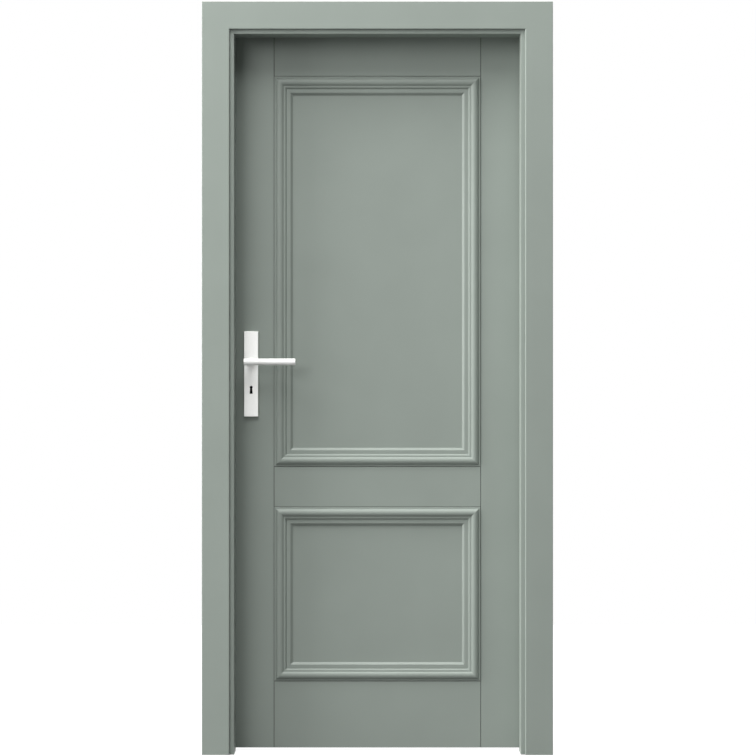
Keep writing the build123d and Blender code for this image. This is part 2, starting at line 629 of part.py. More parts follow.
def lever(y_leaf, outward):
    """T-shaped lever: round grip with a slightly thicker head over a round neck."""
    y_axis = y_leaf + outward * (LEVER_REACH - GRIP_HEAD_D / 2)
    y_root = y_leaf + outward * 2
    head_length = GRIP_HEAD_TO - GRIP_FROM
    head = rod((SPINDLE_X + GRIP_FROM, y_axis, SPINDLE_Z), (1, 0, 0), head_length, GRIP_HEAD_D)
    grip = rod((SPINDLE_X + GRIP_FROM + 1, y_axis, SPINDLE_Z), (1, 0, 0), GRIP_TO - GRIP_FROM - 1, GRIP_D)
    neck = rod((SPINDLE_X, y_root, SPINDLE_Z), (0, outward, 0), abs(y_axis - y_root), NECK_D)
    body = head + grip + neck
    socket_mid = y_root + outward * 17
    body -= Pos(SPINDLE_X, socket_mid, SPINDLE_Z) * Box(SPINDLE + 0.2, 36, SPINDLE + 0.2)
    y_grub = y_leaf + outward * (PLATE_T + 8)
    return body - peg((SPINDLE_X, y_grub, SPINDLE_Z - NECK_D / 2 - 1), (0, 0, 1), NECK_D / 2, 5.0, 0.1)


def make_handle():
    front, back = (LEAF_FACE, -1), (LEAF_BACK, 1)
    for name, (y_leaf, outward) in (("front", front), ("back", back)):
        plate = backplate(y_leaf, outward)
        if name == "front":
            for z in PLATE_SCREW_Z:
                plate += peg((SPINDLE_X, y_leaf - 2, z), (0, 1, 0), 10, 8)
        save(f"plate_{name}", cut_screws(plate, plate_screws))
        save(f"lever_{name}", lever(y_leaf, outward))
    save("plate_screws", screws(plate_screws))
    length = LEAF_T + 2 * 34
    save("spindle", Pos(SPINDLE_X, LEAF_MID, SPINDLE_Z) * Box(SPINDLE, length, SPINDLE))
    grubs = []
    for y_leaf, outward in (front, back):
        y_grub = y_leaf + outward * (PLATE_T + 8)
        foot = SPINDLE_Z - NECK_D / 2 + 0.6
        grubs.append(peg((SPINDLE_X, y_grub, foot), (0, 0, 1), SPINDLE_Z - SPINDLE / 2 - foot, 5))
    save("grub_screws", group(grubs))


make_frame()
make_strike()
make_leaf()
make_mouldings()
make_hinges()
make_lock()
make_handle()
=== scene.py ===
"""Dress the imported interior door: finishes, turned and moulded pieces, and a lit stage.

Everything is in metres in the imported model's frame: X runs right, Z up from the floor, and -Y faces
the push side. Each new piece stands where the CAD pieces that it replaces are.
"""

import itertools
import math

import bmesh
import bpy
import numpy as np
from bpy.props import FloatProperty, FloatVectorProperty, IntProperty, PointerProperty
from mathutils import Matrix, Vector


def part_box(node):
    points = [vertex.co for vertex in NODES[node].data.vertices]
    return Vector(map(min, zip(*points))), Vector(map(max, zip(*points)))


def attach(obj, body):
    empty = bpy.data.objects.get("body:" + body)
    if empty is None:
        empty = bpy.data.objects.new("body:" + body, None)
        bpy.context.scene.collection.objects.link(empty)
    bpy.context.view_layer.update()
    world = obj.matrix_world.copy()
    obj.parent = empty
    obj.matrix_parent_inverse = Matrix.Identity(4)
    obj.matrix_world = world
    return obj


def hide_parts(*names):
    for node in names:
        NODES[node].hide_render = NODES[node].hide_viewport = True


bl_info = {
    "name": "Panelled Interior Door",
    "version": (1, 0, 0),
    "blender": (4, 5, 0),
    "location": "3D View > Sidebar > Door",
    "description": "Dress a packed interior door with mouldings, levers, hinges, screws and a stage",
    "category": "Object",
}

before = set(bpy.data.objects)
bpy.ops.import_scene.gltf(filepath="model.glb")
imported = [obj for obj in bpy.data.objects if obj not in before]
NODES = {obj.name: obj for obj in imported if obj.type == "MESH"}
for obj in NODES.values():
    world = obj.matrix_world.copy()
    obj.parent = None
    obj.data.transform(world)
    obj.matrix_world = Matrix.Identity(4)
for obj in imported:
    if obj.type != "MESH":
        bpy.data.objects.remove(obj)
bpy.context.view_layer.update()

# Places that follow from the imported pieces
LOWER_PANEL, UPPER_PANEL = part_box("lower_panel"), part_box("upper_panel")
LEAF_FRONT_Y, LEAF_BACK_Y = (corner.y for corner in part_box("top_rail"))
LEAF_MIDDLE_Y = (LEAF_FRONT_Y + LEAF_BACK_Y) / 2
PANEL_REBATE = 0.009
RAIL_END_X = UPPER_PANEL[1].x - PANEL_REBATE
RAIL_EDGES_Z = (
    LOWER_PANEL[0].z + PANEL_REBATE,
    LOWER_PANEL[1].z - PANEL_REBATE,
    UPPER_PANEL[0].z + PANEL_REBATE,
    UPPER_PANEL[1].z - PANEL_REBATE,
)
SPINDLE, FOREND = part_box("spindle"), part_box("lock_forend")
SPINDLE_X = (SPINDLE[0].x + SPINDLE[1].x) / 2
SPINDLE_Z = (SPINDLE[0].z + SPINDLE[1].z) / 2
LOCK_Y = (FOREND[0].y + FOREND[1].y) / 2

# Two faces that meet at more than this angle keep a sharp edge between them
SHARP_ANGLE = math.radians(28)
# Points nearer than this are one
WELD = 1e-7


def size(name, description, default):
    return FloatProperty(
        name=name, description=description, default=default, min=0.0, unit="LENGTH", precision=5
    )


def shade(name, description, default):
    return FloatVectorProperty(
        name=name, description=description, default=default, subtype="COLOR", size=3, min=0.0, max=1.0
    )


def share(name, description, default, high=1.0):
    return FloatProperty(name=name, description=description, default=default, min=0.0, max=high)


def power(name, default):
    return FloatProperty(name=name, description="Watts", default=default, min=0.0, unit="POWER")


def spot(name, description, default):
    return FloatVectorProperty(
        name=name, description=description, default=default, subtype="TRANSLATION", size=3
    )


class DoorFinishes(bpy.types.PropertyGroup):
    lacquer: shade("Lacquer", "Grey-green satin lacquer on the wood", (0.216, 0.246, 0.222))
    lacquer_roughness: share("Lacquer roughness", "Middle of the lacquer's roughness", 0.42)
    # The next three set painted shade: a darker band of lacquer along each joint's groove, standing in for the
    # shade that falls in the groove
    seam: size("Seam", "Half the width of the dark seam in a joint", 0.0009)
    groove_shade_level: share("Seam shade", "Brightness of a seam, as a part of the lacquer's", 0.3)
    bar_groove_shade: share("Moulding seam", "Width of the mouldings' seam, as a part of the others'", 0.6)
    white: shade("White", "Coating of the levers and plates", (0.905, 0.91, 0.89))
    white_roughness: share("White roughness", "Middle of the coating's roughness", 0.3)
    # Painted shade: the levers' coat is a dimmed copy of the plates', so that the levers, which catch more
    # light, stay short of full white
    lever_painted_shade: share("Lever shade", "Brightness of the levers' coating, as a part of the plates'", 0.92)
    plate_metallic: share("Plate metallic", "How much the plates' coating shines like metal", 0.33)
    steel: shade("Steel", "Brushed steel of hinges, bolts and screws", (0.40, 0.395, 0.385))
    steel_roughness: share("Steel roughness", "Middle of the steel's roughness", 0.34)
    # Painted shade: the ward, a lock part, is near black so that the keyhole shows dark, standing in for the
    # shade inside the lock
    ward: shade("Ward", "Blackened steel in the lock", (0.018, 0.018, 0.019))
    ward_roughness: share("Ward roughness", "Middle of the blackened steel's roughness", 0.6)
    rubber: shade("Rubber", "Seal round the stop", (0.11, 0.12, 0.115))
    beech: shade("Beech", "Dowels", (0.56, 0.38, 0.22))


class DoorMouldings(bpy.types.PropertyGroup):
    rebate: size("Panel seat", "How far a panel reaches behind its mouldings' outer edge", PANEL_REBATE)
    recess: size("Recess", "From the leaf's face back to the panel", 0.009)
    width: size("Width", "Across a moulding", 0.0532)
    joint: size("Joint bevel", "Bevel along the joint with the stile or rail", 0.0016)
    torus_start: size("Torus start", "Where the round starts", 0.0054)
    torus_crest: size("Torus crest", "Where the round is highest", 0.016)
    crest_height: size("Crest height", "Height of the round over the leaf", 0.0076)
    torus_end: size("Torus end", "Where the round meets the ledge", 0.027)
    ledge_height: size("Ledge height", "Ledge over the leaf's face", 0.002)
    ledge_end: size("Ledge end", "Inner edge of the ledge", 0.030)
    fillet_start: size("Fillet start", "Foot of the small quarter round", 0.0355)
    fillet_end: size("Fillet end", "Where the bevel down to the panel starts", 0.0465)
    fillet_drop: size("Fillet drop", "Fillet under the leaf's face", 0.0025)
    thin_edge: size("Thin edge", "Height of the edge on the panel", 0.0008)
    soft_edge: size("Soft edge", "Paint's rounding of each arris", 0.00025)
    arc_steps: IntProperty(name="Arc steps", description="Steps along each arc", default=28, min=4)


class DoorHandles(bpy.types.PropertyGroup):
    reach: size("Reach", "From the leaf's face to the front of the grip", 0.060)
    head_diameter: size("Head diameter", "Thicker part over the spindle", 0.0196)
    grip_diameter: size("Grip diameter", "Round bar that is held", 0.0188)
    head_length: size("Head length", "Thicker part, evenly either side of the spindle", 0.038)
    grip_end: size("Grip end", "From the spindle to the cut end", 0.127)
    neck_diameter: size("Neck diameter", "Round neck between plate and bar", 0.0234)
    neck_root: size("Neck root", "From the leaf's face to the hidden end of the neck", 0.002)
    neck_round: size("Neck round", "Rounding of the neck's front rim", 0.0022)
    end_round: size("End round", "Rounding of the bar's cut ends", 0.0008)
    turns: IntProperty(name="Turns", description="Steps round each bar", default=96, min=12)


class DoorHinges(bpy.types.PropertyGroup):
    barrel_diameter: size("Barrel diameter", "Knuckle", 0.015)
    barrel_height: size("Barrel height", "One knuckle", 0.030)
    end_round: size("End round", "Rounding of the knuckle's outer end", 0.0016)
    joint_round: size("Joint round", "Rounding where the knuckles meet", 0.0004)
    bore_diameter: size("Bore diameter", "Hole in the upper knuckle", 0.00812)
    bore_depth: size("Bore depth", "From the joint", 0.023)
    pin_diameter: size("Pin diameter", "Pin on the lower knuckle", 0.008)
    pin_height: size("Pin height", "From the joint", 0.022)
    stem_diameter: size("Stem diameter", "Over the threads", 0.0078)
    stem_length: size("Stem length", "From the barrel's axis", 0.048)
    stem_clearance: size("Stem clearance", "From the upper knuckle's bore to its stem", 0.0004)
    pitch: size("Pitch", "Thread of the stem", 0.0028)
    thread_depth: share("Thread depth", "Part of the stem's radius", 0.2)
    turns: IntProperty(name="Turns", description="Steps round each barrel and stem", default=72, min=12)
    tilt: FloatProperty(
        name="Tilt",
        description="Frame stem's turn towards the leaf",
        default=math.radians(14),
        unit="ROTATION",
    )


class DoorFixings(bpy.types.PropertyGroup):
    wood_pitch: size("Wood screw pitch", "Coarse thread", 0.0018)
    bolt_pitch: size("Bolt pitch", "Fine thread of the bolts through the leaf", 0.0008)
    thread_depth: share("Thread depth", "Part of the shank's radius", 0.26)
    recess_width: share("Recess width", "Arm of the cross recess, part of the head's diameter", 0.13)
    recess_reach: share("Recess reach", "Cross recess, part of the head's radius", 0.62)
    recess_depth: share("Recess depth", "Part of the head's diameter", 0.26)
    dowel_diameter: size("Dowel diameter", "Over the flutes' crests", 0.010)
    dowel_length: size("Dowel length", "Half in the rail and half in the stile", 0.110)
    flutes: IntProperty(name="Flutes", description="Grooves round a dowel", default=18, min=3)
    flute_depth: size("Flute depth", "Grooves that let the glue out", 0.0004)
    ward_diameter: size("Ward diameter", "Disc in the middle of the lock", 0.032)
    ward_thickness: size("Ward thickness", "Disc in the middle of the lock", 0.0012)
    ward_drop: size("Ward drop", "From the spindle's axis down to the disc's", 0.079)


class DoorStage(bpy.types.PropertyGroup):
    camera_place: spot("Camera", "Level with the middle of the frame", (0.0017, -7.9, 1.0594))
    lens: FloatProperty(name="Lens", description="Focal length in millimetres", default=132.2, min=1.0)
    key_place: spot("Key lamp", "High at the left", (-4.97, -1.33, 7.19))
    key_power: power("Key power", 870.0)
    side_place: spot("Side lamp", "Low at the left, just in front of the door's plane", (-7.80, -1.38, 2.17))
    side_power: power("Side power", 850.0)
    front_place: spot("Front lamp", "Left of the camera, over head height", (-3.63, -6.28, 4.44))
    front_power: power("Front power", 300.0)
    top_place: spot("Top lamp", "High over the door", (0.0, -2.96, 7.40))
    top_power: power("Top power", 540.0)
    back_place: spot("Back lamp", "Behind the door at the right, high", (5.60, 4.60, 5.00))
    back_power: power("Back power", 700.0)
    rear_place: spot("Rear lamp", "Behind the door at the left, low", (-4.60, 5.90, 3.00))
    rear_power: power("Rear power", 260.0)
    lamp_side: size("Lamp side", "Side of each square lamp", 4.2)
    ambient: share("Ambient", "Strength of the even light all round", 0.03, 10.0)
    floor_glow: share("Floor glow", "Share of white that the camera sees in a shadow on the floor", 0.93)
    floor_reach: size("Floor reach", "Half the width of the floor", 4.0)


# Surfaces: a patch is its points, its faces as rows of indices and its map places, one per face corner


def grid_patch(points, along, across, loop=False):
    """Quads over a grid of points; loop joins the last column to the first.

    The quad at a row and a column joins the point there, the next column's, the next column's in the
    next row and the next row's. along and across give the map place of each row and column, across
    with one more entry when looped.
    """
    rows, columns = points.shape[:2]
    spans = columns if loop else columns - 1
    row, column = np.meshgrid(np.arange(rows - 1), np.arange(spans), indexing="ij")
    corners = [(row, column), (row, column + 1), (row + 1, column + 1), (row + 1, column)]
    faces = np.stack([(r * columns + c % columns).ravel() for r, c in corners], 1)
    places = np.stack([np.stack([along[r].ravel(), across[c].ravel()], 1) for r, c in corners], 1)
    return points.reshape(-1, 3), faces, places


def cap_patch(ring):
    """One flat face on a closed outline, mapped by its own lengths."""
    count = len(ring)
    place = np.stack([travelled(ring), np.zeros(count)], 1)
    return ring, np.arange(count)[None], place[None]


def travelled(points):
    """Distance along a line of points, from its start."""
    steps = np.linalg.norm(np.diff(points, axis=0), axis=1)
    return np.concatenate([[0.0], np.cumsum(steps)])


def arc(start, through, end, steps):
    """Points from start to end on the circle through three points.

    The centre is equally far from all three, and the angle runs evenly from the first to the last.
    """
    three = np.array([start, through, end], float)
    system = 2 * (three[1:] - three[0])
    squares = (three**2).sum(1)
    centre = np.linalg.solve(system, squares[1:] - squares[0])
    radius = np.linalg.norm(three[0] - centre)
    turn = np.unwrap(np.arctan2(three[:, 1] - centre[1], three[:, 0] - centre[0]))
    angle = np.linspace(turn[0], turn[2], steps + 1)
    return centre + radius * np.stack([np.cos(angle), np.sin(angle)], 1)


def quarter(centre, radius, start, end, steps=6):
    """Part of a circle: the centre plus the radius times each angle's cosine and sine, in degrees."""
    angle = np.radians(np.linspace(start, end, steps + 1))
    return np.array(centre) + radius * np.stack([np.cos(angle), np.sin(angle)], 1)


def axes_across(axis):
    """Unit vector along an axis and two more, square to it and to each other.

    They are cross products with Z, or with X where the axis is nearly along Z.
    """
    axis = np.array(axis, float) / np.linalg.norm(axis)
    nearly_upright = abs(axis[2]) >= 0.9
    helper = np.array((1.0, 0.0, 0.0) if nearly_upright else (0.0, 0.0, 1.0))
    side = np.cross(helper, axis)
    side /= np.linalg.norm(side)
    return axis, side, np.cross(axis, side)


def turned_patch(outline, origin, axis, columns=64):
    """Outline of distances along an axis and radii, turned once round it.

    A point is the origin, plus its distance times the axis, plus its radius times the direction at
    its angle. The radii may be one per row, or one per row and column.
    """
    distance, radius = outline
    distance, radius = np.asarray(distance, float), np.asarray(radius, float)
    radius = radius[:, None] if radius.ndim == 1 else radius
    axis, side, up = axes_across(axis)
    angle = np.linspace(0, 2 * math.pi, columns, endpoint=False)
    direction = np.cos(angle)[:, None] * side + np.sin(angle)[:, None] * up
    points = np.array(origin) + distance[:, None, None] * axis + radius[:, :, None] * direction
    along = travelled(np.stack([distance, radius.mean(1)], 1))
    across = np.linspace(0, 2 * math.pi * radius.max(), columns + 1)
    return grid_patch(points, along, across, loop=True)


def build_piece(name, patches, material, body, nodes):
    """Weld patches into one closed mesh, face it outward and let it stand for CAD nodes on a body."""
    points = np.concatenate([patch[0] for patch in patches])
    first = np.cumsum([0] + [len(patch[0]) for patch in patches])[:-1]
    corners = np.concatenate([(patch[1] + at).ravel() for patch, at in zip(patches, first)])
    places = np.concatenate([patch[2].reshape(-1, 2) for patch in patches])
    lengths = np.concatenate([np.full(len(patch[1]), patch[1].shape[1]) for patch in patches])
    mesh = bpy.data.meshes.new(name)
    mesh.vertices.add(len(points))
    mesh.loops.add(len(corners))
    mesh.polygons.add(len(lengths))
    mesh.vertices.foreach_set("co", points.astype(np.float32).ravel())
    mesh.loops.foreach_set("vertex_index", corners.astype(np.int32))
    mesh.polygons.foreach_set("loop_start", (np.cumsum(lengths) - lengths).astype(np.int32))
    mesh.update(calc_edges=True)
    mesh.uv_layers.new(name="UVMap").data.foreach_set("uv", places.astype(np.float32).ravel())
    work = bmesh.new()
    work.from_mesh(mesh)
    bmesh.ops.remove_doubles(work, verts=work.verts, dist=WELD)
    bmesh.ops.recalc_face_normals(work, faces=work.faces)
    work.to_mesh(mesh)
    work.free()
    mesh.validate()
    mesh.polygons.foreach_set("use_smooth", np.ones(len(mesh.polygons), bool))
    mesh.set_sharp_from_angle(angle=SHARP_ANGLE)
    piece = bpy.data.objects.new(name, mesh)
    bpy.context.scene.collection.objects.link(piece)
    mesh.materials.append(bpy.data.materials[material])
    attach(piece, body)
    if nodes:
        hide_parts(*nodes)
    return piece


# Finishes

# Places of the two colours and of the result on a Mix node for colours
MIX_FIRST, MIX_SECOND, MIX_RESULT = 6, 7, 2

# Scale of a pattern on each axis: a small number draws it out along that axis
EVEN = (1.0, 1.0, 1.0)
GRAIN_UP, GRAIN_ACROSS = (1.0, 1.0, 0.03), (0.03, 1.0, 1.0)
BRUSHED_UP = (1.0, 1.0, 0.02)
FLECKS_ACROSS = (0.08, 1.0, 1.0)


def add_node(tree, kind, inputs=None, **settings):
    """New node with its settings, and inputs given as values or as sockets to link."""
    node = tree.nodes.new(kind)
    for key, value in settings.items():
        setattr(node, key, value)
    for key, value in (inputs or {}).items():
        if isinstance(value, bpy.types.NodeSocket):
            tree.links.new(value, node.inputs[key])
        else:
            node.inputs[key].default_value = value
    return node


def start_material(name, metallic=0.0, coat=0.0, coat_roughness=0.3, specular=0.5):
    """Principled material with its constants on the shader's own sockets."""
    material = bpy.data.materials.new(name)
    material.use_nodes = True
    tree = material.node_tree
    shader = tree.nodes["Principled BSDF"]
    shader.inputs["Metallic"].default_value = metallic
    shader.inputs["Coat Weight"].default_value = coat
    shader.inputs["Coat Roughness"].default_value = coat_roughness
    shader.inputs["Specular IOR Level"].default_value = specular
    return tree, shader


def link_finish(tree, shader, colour, roughness, normal):
    """Link the three things that vary over a surface to its shader."""
    tree.links.new(colour, shader.inputs["Base Color"])
    tree.links.new(roughness, shader.inputs["Roughness"])
    tree.links.new(normal, shader.inputs["Normal"])


def coordinates(tree, source, scale):
    """Place on the piece in metres, stretched by a scale on each axis."""
    place = add_node(tree, "ShaderNodeTexCoord")
    return add_node(tree, "ShaderNodeMapping", {"Vector": place.outputs[source], "Scale": scale}).outputs[0]


def noise(tree, vector, scale, detail, roughness=0.5):
    settings = {"Vector": vector, "Scale": scale, "Detail": detail, "Roughness": roughness}
    return add_node(tree, "ShaderNodeTexNoise", settings).outputs["Fac"]


def calculate(tree, operation, *values):
    """Result of a Math node on numbers or sockets."""
    return add_node(tree, "ShaderNodeMath", dict(enumerate(values)), operation=operation).outputs[0]


def spread(tree, value, low, high, span=(0.3, 0.7)):
    """Map a noise value from its usual span to a range."""
    settings = {"Value": value, "From Min": span[0], "From Max": span[1], "To Min": low, "To Max": high}
    return add_node(tree, "ShaderNodeMapRange", settings).outputs[0]


def scaled(colour, factor):
    return tuple(min(1.0, channel * factor) for channel in colour)


def mix_colours(tree, factor, first, second):
    """Colour from the first, a socket or a colour, at 0, to the second, a colour, at 1."""
    if not isinstance(first, bpy.types.NodeSocket):
        first = (*first, 1.0)
    inputs = {"Factor": factor, MIX_FIRST: first, MIX_SECOND: (*second, 1.0)}
    return add_node(tree, "ShaderNodeMix", inputs, data_type="RGBA").outputs[MIX_RESULT]


def varied(tree, pattern, colour, dark, light):
    """Colour that goes from one share of itself to another as a noise pattern rises."""
    blend = spread(tree, pattern, 0.0, 1.0)
    return mix_colours(tree, blend, scaled(colour, dark), scaled(colour, light))


def relief(tree, heights, depth):
    """Bump from weighted height values, with its depth in metres at full height."""
    total = None
    for value, weight in heights:
        term = calculate(tree, "MULTIPLY", value, weight)
        total = term if total is None else calculate(tree, "ADD", total, term)
    bump = add_node(tree, "ShaderNodeBump", {"Height": total, "Distance": depth, "Strength": 1.0})
    return bump.outputs[0]


def groove_shade_mask(tree, vector, axis, shaded_seams, reach):
    """1 within a reach of any of the seams, which are distances from 0 along one axis, else 0: where the
    painted shade of a joint's groove goes.
    """
    split = add_node(tree, "ShaderNodeSeparateXYZ", {"Vector": vector})
    away = calculate(tree, "ABSOLUTE", split.outputs[axis])
    total = None
    for seam in shaded_seams:
        near = calculate(tree, "COMPARE", away, seam, reach)
        total = near if total is None else calculate(tree, "MAXIMUM", total, near)
    return total


def lacquer_material(name, source, grain, look, shaded_seams):
    """Satin lacquer over wood: a slow mottle, the grain's faint lines and the spray's fine skin.

    A thin band along each joint's groove is painted darker: painted shade for the shadow in the groove.
    Each entry of the seam list gives an axis, the seams' distances along it and how far the painted shade
    reaches.
    """
    colour, roughness = tuple(look.lacquer), look.lacquer_roughness
    tree, shader = start_material(name, specular=0.22)
    plain = coordinates(tree, source, EVEN)
    mottle = noise(tree, plain, scale=5.0, detail=2.0)
    fibre = noise(tree, coordinates(tree, source, grain), scale=60.0, detail=5.0, roughness=0.6)
    skin = noise(tree, plain, scale=900.0, detail=2.0)
    paint = varied(tree, mottle, colour, dark=0.975, light=1.025)
    # Painted shade along each joint's groove
    for axis, places, reach in shaded_seams:
        mask = groove_shade_mask(tree, plain, axis, places, reach)
        paint = mix_colours(tree, mask, paint, scaled(colour, look.groove_shade_level))
    shine = spread(tree, fibre, low=roughness - 0.04, high=roughness + 0.05)
    link_finish(tree, shader, paint, shine, relief(tree, [(fibre, 0.5), (skin, 0.5)], depth=0.00006))


def white_material(name, colour, roughness, metallic):
    """Satin white metal coat with a very fine skin."""
    tree, shader = start_material(name, metallic=metallic, coat=0.2)
    plain = coordinates(tree, "Object", EVEN)
    cloud = noise(tree, plain, scale=18.0, detail=2.0)
    skin = noise(tree, plain, scale=1600.0, detail=3.0)
    coating = varied(tree, cloud, colour, dark=0.985, light=1.01)
    shine = spread(tree, skin, low=roughness - 0.04, high=roughness + 0.06)
    link_finish(tree, shader, coating, shine, relief(tree, [(skin, 1.0)], depth=0.00002))


def steel_material(name, colour, roughness):
    """Brushed steel: long fine scratches up the piece, with slow changes of shine."""
    tree, shader = start_material(name, metallic=1.0)
    scratch = noise(tree, coordinates(tree, "Object", BRUSHED_UP), scale=900.0, detail=4.0, roughness=0.65)
    cloud = noise(tree, coordinates(tree, "Object", EVEN), scale=25.0, detail=2.0)
    metal = varied(tree, scratch, colour, dark=0.9, light=1.08)
    shine = spread(tree, cloud, low=roughness - 0.06, high=roughness + 0.08)
    link_finish(tree, shader, metal, shine, relief(tree, [(scratch, 1.0)], depth=0.00002))


def rubber_material(name, colour):
    """Matt extruded rubber with fine lines and a dusty bloom."""
    tree, shader = start_material(name)
    plain = coordinates(tree, "Object", EVEN)
    bloom = noise(tree, plain, scale=70.0, detail=4.0)
    skin = noise(tree, plain, scale=2200.0, detail=2.0)
    rubber = varied(tree, bloom, colour, dark=0.85, light=1.25)
    shine = spread(tree, bloom, low=0.6, high=0.78)
    link_finish(tree, shader, rubber, shine, relief(tree, [(skin, 1.0)], depth=0.00003))


def beech_material(name, colour):
    """Planed beech: pale wood with short darker flecks along X."""
    tree, shader = start_material(name)
    lines = coordinates(tree, "Object", FLECKS_ACROSS)
    fleck = noise(tree, lines, scale=900.0, detail=3.0)
    figure = noise(tree, lines, scale=120.0, detail=3.0)
    wood = varied(tree, fleck, colour, dark=0.8, light=1.1)
    shine = spread(tree, figure, low=0.55, high=0.7)
    link_finish(tree, shader, wood, shine, relief(tree, [(fleck, 0.6), (figure, 0.4)], depth=0.00005))


# CAD pieces that stay in view, by finish: the grain runs up the uprights and along the cross pieces
FINISHED_NODES = {
    "lacquer_upright": [
        "latch_jamb", "hinge_jamb", "front_casing_left", "front_casing_right", "back_casing_left",
        "back_casing_right", "upper_panel", "lower_panel",
    ],
    "lacquer_stile": ["latch_stile", "hinge_stile"],
    "lacquer_across": ["head_jamb", "front_casing_head", "back_casing_head"],
    "lacquer_rail": ["top_rail", "lock_rail", "bottom_rail"],
    "seal_rubber": ["seal_left", "seal_right", "seal_head"],
    "white_plate_coat": ["plate_front", "plate_back"],
    "brushed_steel": [
        "strike_plate", "lock_case", "lock_cover", "lock_forend", "spindle", "follower", "latch_bolt",
        "dead_bolt",
    ],
}


class DOOR_OT_finishes(bpy.types.Operator):
    """Make the finishes and put them on every CAD piece that stays in view"""

    bl_idname = "door.finishes"
    bl_label = "Finishes"

    def execute(self, context):
        look, bar = context.scene.door_finishes, context.scene.door_mouldings
        # Places of the painted shade along the grooves: the rails' ends, the rails' edges and the mouldings'
        # foot
        ends, edges = ("X", (RAIL_END_X,), look.seam), ("Z", RAIL_EDGES_Z, look.seam)
        foot = ("Y", (bar.recess - bar.joint,), look.seam * look.bar_groove_shade)
        lacquer_material("lacquer_upright", "Object", GRAIN_UP, look, [])
        lacquer_material("lacquer_stile", "Object", GRAIN_UP, look, [ends])
        lacquer_material("lacquer_across", "Object", GRAIN_ACROSS, look, [])
        lacquer_material("lacquer_rail", "Object", GRAIN_ACROSS, look, [ends, edges])
        lacquer_material("lacquer_along_bar", "UV", GRAIN_ACROSS, look, [foot])
        # Painted shade: the levers and the plates' bolts get a dimmed copy of the plates' white, so the lit
        # levers don't burn out
        shaded_lever_white = scaled(look.white, look.lever_painted_shade)
        white_material("white_coat", shaded_lever_white, look.white_roughness, metallic=0.0)
        white_material("white_plate_coat", look.white, look.white_roughness, look.plate_metallic)
        steel_material("brushed_steel", look.steel, look.steel_roughness)
        # Near-black steel for the ward: painted shade behind the keyhole
        steel_material("blackened_steel", look.ward, look.ward_roughness)
        rubber_material("seal_rubber", look.rubber)
        beech_material("beech", look.beech)
        for material, nodes in FINISHED_NODES.items():
            for node in nodes:
                NODES[node].data.materials.clear()
                NODES[node].data.materials.append(bpy.data.materials[material])
        return {"FINISHED"}


# Mouldings

# The quarter round's middle, in and up from halfway between its ends
STEP_BULGE = (0.0007, 0.0008)


def moulding_outline(look):
    """Closed outline of distance in from the opening's edge and height over the leaf's face.

    It goes up the joint's bevel, over the round, along the ledge, down the quarter round, along the
    fillet and down the bevel to the panel, and back along the bed.
    """
    bed = -look.recess
    ledge, foot = (look.ledge_end, look.ledge_height), (look.fillet_start, -look.fillet_drop)
    torus = arc(
        (look.torus_start, 0.0), (look.torus_crest, look.crest_height), (look.torus_end, look.ledge_height),
        look.arc_steps,
    )
    bulge = ((ledge[0] + foot[0]) / 2 + STEP_BULGE[0], (ledge[1] + foot[1]) / 2 + STEP_BULGE[1])
    step = arc(ledge, bulge, foot, look.arc_steps // 2)
    first = [(0.0, bed), (0.0, -look.joint), (look.joint, 0.0)]
    last = [(look.fillet_end, -look.fillet_drop), (look.width, bed + look.thin_edge), (look.width, bed)]
    return np.concatenate([first, torus, step, last])


def mitred_bar(outline, corner, along, inward, outward, length):
    """Bar with an outline, mitred at both ends.

    A point at distance v in from the edge runs from v to the length minus v along the bar, so that
    each end lies in the plane at 45 degrees.
    """
    v, h = outline[:, 0], outline[:, 1]
    run = np.stack([v, length - v])
    points = (
        corner + run[:, :, None] * along + v[None, :, None] * inward + h[None, :, None] * outward
    )
    across = travelled(np.concatenate([outline, outline[:1]]))
    side = grid_patch(points, np.array([0.0, length]), across, loop=True)
    return [side, cap_patch(points[0]), cap_patch(points[1])]


class DOOR_OT_mouldings(bpy.types.Operator):
    """Mitred moulding frames round both panels, on both faces"""

    bl_idname = "door.mouldings"
    bl_label = "Mouldings"

    def execute(self, context):
        look = context.scene.door_mouldings
        outline = moulding_outline(look)
        for panel, box in (("lower", LOWER_PANEL), ("upper", UPPER_PANEL)):
            left, right = box[0].x + look.rebate, box[1].x - look.rebate
            foot, top = box[0].z + look.rebate, box[1].z - look.rebate
            runs = {
                "bottom": ((left, foot), (1, 0), (0, 1), right - left),
                "top": ((left, top), (1, 0), (0, -1), right - left),
                "left": ((left, foot), (0, 1), (1, 0), top - foot),
                "right": ((right, foot), (0, 1), (-1, 0), top - foot),
            }
            for face, depth, normal in (("front", LEAF_FRONT_Y, -1.0), ("back", LEAF_BACK_Y, 1.0)):
                patches = []
                outward = np.array((0.0, normal, 0.0))
                for (x, z), (along_x, along_z), (inward_x, inward_z), length in runs.values():
                    corner = np.array((x, depth, z))
                    along, inward = np.array((along_x, 0.0, along_z)), np.array((inward_x, 0.0, inward_z))
                    patches += mitred_bar(outline, corner, along, inward, outward, length)
                nodes = [f"{panel}_moulding_{face}_{run}" for run in runs]
                name = f"{panel}_moulding_frame_{face}"
                piece = build_piece(name, patches, "lacquer_along_bar", "leaf", nodes)
                bevel = piece.modifiers.new("Soft edge", "BEVEL")
                bevel.width, bevel.segments, bevel.limit_method = look.soft_edge, 2, "ANGLE"
                bevel.angle_limit = SHARP_ANGLE
        return {"FINISHED"}


# Levers

# A flat end has a ring of points at this share of its radius, inside which its shading is flat
BAR_RING, NECK_RING, KNUCKLE_RING = 0.8, 0.6, 0.4


